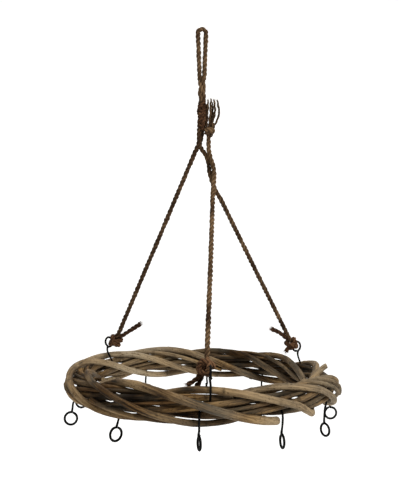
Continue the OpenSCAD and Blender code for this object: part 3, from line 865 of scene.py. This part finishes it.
def core_hoop():
    """The hidden hoop that the wires hang on, a closed ring."""
    radius, rings, sides = 2.85, 240, 12
    az = np.linspace(0, 360, rings, endpoint=False)
    path = to_row(core_point(az))
    th = np.linspace(0, 2 * math.pi, sides, endpoint=False)
    nn = unit(path - path.mean(0))
    tt = unit(np.roll(path, -1, 0) - np.roll(path, 1, 0))
    nn = unit(nn - tt * np.sum(nn * tt, -1, keepdims=True))
    bb = np.cross(tt, nn)
    s = np.radians(az) * RING_R
    rad = radius + 0.05 * np.sin(np.radians(az * 9)) + 0.04 * np.sin(np.radians(az * 23 + 40))
    spoke = np.cos(th)[None, :, None] * nn[:, None] + np.sin(th)[None, :, None] * bb[:, None]
    verts = path[:, None] + rad[:, None, None] * spoke
    idx = np.arange(rings * sides).reshape(rings, sides)
    down, right = np.roll(idx, -1, 0), np.roll(idx, -1, 1)
    quads = np.stack([idx, right, np.roll(down, -1, 1), down], -1).reshape(-1, 4)
    along = np.repeat(s[:, None], sides, 1)
    grain = np.stack([radius * np.cos(th) + 0 * along, radius * np.sin(th) + 0 * along, along], -1)
    grain = grain.reshape(-1, 3) * MM
    count = rings * sides
    hoop = make_mesh("rod_core_hoop", verts.reshape(-1, 3), quads, [WILLOW["dark"]], None, {
        "grain": grain, "tone": np.full(count, 0.4), "pale": np.full(count, 0.1), "scar": np.zeros(count)})
    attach(hoop, "rack")
    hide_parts("core_hoop")


core_hoop()


# ------------------------------------------------------------------ wire eyes
def fillet(points, radius):
    """Rounds the corners of a polyline."""
    pts = [np.asarray(p, float) for p in points]
    out = [pts[0]]
    for a, b, c in zip(pts, pts[1:], pts[2:]):
        u, v = unit(a - b), unit(c - b)
        cut = min(radius, 0.45 * np.linalg.norm(a - b), 0.45 * np.linalg.norm(c - b))
        p, q = b + u * cut, b + v * cut
        for w in np.linspace(0, 1, 6):
            out.append((1 - w) ** 2 * p + 2 * w * (1 - w) * b + w**2 * q)
    out.append(pts[-1])
    return out


WIRE_D = 3.5
EYE_EXTRA = 0.25  # the wire's radius is this much more in its eye
GRIP_SWEEP = 1.86 * math.pi  # how far the wire goes round the hoop
GRIP_PITCH = 2.9  # and how far it would go sideways in a whole turn
EYE_GAP = 0.1  # radians left open where the eye closes on its stem
EYE_ASIDE = 1.15  # how far the eye's two ends pass to either side of its plane
STEM_FILLET = 4.0
MIN_GAP = 0.35  # points of the wire nearer than this to the last one are dropped


def wire_eye(name, node, body, place, angle, bend, end, up, r, lean, twist, seed):
    """One length of wire: a loop round the hoop, a bent stem, and an eye that closes on the stem."""
    rng = np.random.default_rng(seed)
    way = math.radians(angle)
    c, s = math.cos(way), math.sin(way)
    grip = []
    for w in np.linspace(-GRIP_SWEEP, 0, 40):
        aside = GRIP_PITCH * (w / (2 * math.pi))
        grip.append((GRIP_R * math.cos(way + w), aside, GRIP_R * math.sin(way + w)))
    grip = grip[:-2]
    stem = [grip[-1], (STEM_OUT * c * 0.55, 0, STEM_OUT * s * 0.55), (STEM_OUT * c, 0, STEM_OUT * s),
            (bend[0], 0, up * bend[1]), (end[0], 0, up * end[1])]
    stem = fillet(stem, STEM_FILLET)
    rise = math.sqrt(r * r - lean * lean)
    t = math.radians(twist)
    eye = []
    a0 = math.atan2(-up * rise, -lean)
    for w in np.linspace(EYE_GAP, 2 * math.pi - EYE_GAP * 1.3, 56):
        a = a0 + w * up
        x, z = lean + r * math.cos(a), up * rise + r * math.sin(a)
        off = EYE_ASIDE * (w / math.pi - 1)
        eye.append((end[0] + x * math.cos(t) - off * math.sin(t), x * math.sin(t) + off * math.cos(t),
                    up * end[1] + z))
    pts = np.array(grip + stem[1:-1] + eye)
    keep = [0]
    for i in range(1, len(pts)):
        if np.linalg.norm(pts[i] - pts[keep[-1]]) > MIN_GAP:
            keep.append(i)
    path = smooth_path(pts[keep], 0.9)
    path = path + np.stack([wave_noise(run_of(path), rng, 20, 60)] * 3, -1) * 0.06
    path = place(path)
    nn, bb = carried_frames(path, (0.2, 0.3, 0.9))[1:]
    sides = 12
    th = np.linspace(0, 2 * math.pi, sides, endpoint=False)
    ss = run_of(path)
    in_eye = np.clip((ss - ss[-1] + 2 * math.pi * r + 8) / 8, 0, 1)
    radius = (WIRE_D / 2 + EYE_EXTRA * in_eye) * (1 + 0.015 * wave_noise(ss, rng, 8, 30))
    radius = radius[:, None] * np.ones((1, sides))
    grain = np.stack([radius * np.cos(th), radius * np.sin(th), np.repeat(ss[:, None], sides, 1)], -1) * MM
    grain = grain + np.array([0, 0, seed * 0.37])
    build = Build()
    build.tube(path, nn, bb, radius, {"grain": grain})
    piece = build.finish(name, [WIRE])
    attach(piece, body)
    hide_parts(node)


def azimuth_place(az):
    """What moves points from an eye's own plane (out, along, up) to its azimuth on the ring."""
    a = math.radians(az)
    out, along = np.array([math.sin(a), -math.cos(a), 0]), np.array([math.cos(a), math.sin(a), 0])
    up = np.array([0, 0, 1.0])
    return lambda p: to_row(out * (RING_R + p[:, :1]) + along * p[:, 1:2] + up * p[:, 2:3])


# the lower eyes: azimuth, angle of the stem's start, stem's bend, stem's end, twist
HOOKS = [
    (-1, -38, (16, 30), (14, 41), 16), (33, -54, (11, 31), (10, 46), -19), (70, -65, (5, 31), (5, 55), -34),
    (96, -75, (19, 31), (20, 49), 0), (146, -68, (4, 32), (3, 47), 0), (177, -88, (1, 32), (1, 46), 6),
    (-148, -99, (-1, 32), (0, 47), 0), (-104, -95, (4, 32), (14, 46), 0), (-75, -112, (12, 32), (13, 50), 0),
    (-38, -119, (-6, 30), (-2, 47), -10),
]
for k, (az, angle, bend, end, twist) in enumerate(HOOKS):
    node = f"hook_{k + 1}"
    wire_eye("wire_" + node, node, node, azimuth_place(az), angle, bend, end, -1, LOWER_R, LOWER_LEAN, twist,
             300 + k)
for k, (side, (az, angle, bend, end)) in enumerate(UPPER.items()):
    wire_eye("wire_eye_" + side, "upper_eye_" + side, "rack", azimuth_place(az), angle, bend, end, 1, UPPER_R,
             UPPER_LEAN, 0, 320 + k)

# ------------------------------------------------------------------ stage and light (metres)
FLOOR_Z, WALL_Y, BEND_R = -1.45, 4.2, 1.6
STAGE_FRONT, STAGE_TOP, STAGE_HALF = -6.0, 5.0, 9.0
profile = [(STAGE_FRONT, FLOOR_Z), (WALL_Y - BEND_R, FLOOR_Z)]
profile += [(WALL_Y - BEND_R + BEND_R * math.sin(a), FLOOR_Z + BEND_R - BEND_R * math.cos(a))
            for a in np.linspace(0.1, math.pi / 2, 14)]
profile += [(WALL_Y, STAGE_TOP)]
verts = []
for x in (-STAGE_HALF, STAGE_HALF):
    verts += [(x, y, z) for y, z in profile]
m = len(profile)
faces = [(i, i + 1, m + i + 1, m + i) for i in range(m - 1)]
stage_mesh = bpy.data.meshes.new("stage")
stage_mesh.from_pydata(verts, [], faces)
stage_mesh.polygons.foreach_set("use_smooth", [True] * len(stage_mesh.polygons))
stage_mat, _, _, bsdf = node_material("stage_paper")
bsdf.inputs["Base Color"].default_value = (0.93, 0.93, 0.92, 1)
bsdf.inputs["Roughness"].default_value = 0.95
bsdf.inputs["Emission Color"].default_value = (1, 1, 1, 1)
bsdf.inputs["Emission Strength"].default_value = 0.5
stage_mesh.materials.append(stage_mat)
stage = bpy.data.objects.new("stage", stage_mesh)
bpy.context.scene.collection.objects.link(stage)


def area(name, at, aim, size, power, colour=(1, 1, 1)):
    """A round soft lamp that points at aim."""
    lamp = bpy.data.lights.new(name, "AREA")
    lamp.shape, lamp.size, lamp.energy, lamp.color = "DISK", size, power, colour
    obj = bpy.data.objects.new(name, lamp)
    bpy.context.scene.collection.objects.link(obj)
    obj.location = at
    d = np.array(at, float) - np.array(aim, float)
    obj.rotation_mode = "QUATERNION"
    obj.rotation_quaternion = Vector(d).to_track_quat("Z", "Y")


area("key", (1.3, -1.5, 0.9), (0, 0, -0.55), 0.8, 62, (1, 0.98, 0.94))
area("top", (-0.2, 0.3, 1.6), (0, 0, -0.5), 1.6, 30)
area("fill", (-1.8, -1.2, -0.1), (0, 0, -0.5), 1.4, 9, (0.98, 0.99, 1))
world = bpy.data.worlds.new("world")
bpy.context.scene.world = world
world.use_nodes = True
world.node_tree.nodes["Background"].inputs[0].default_value = (1, 1, 1, 1)
world.node_tree.nodes["Background"].inputs[1].default_value = 0.2
bpy.context.scene.view_settings.view_transform = "Standard"
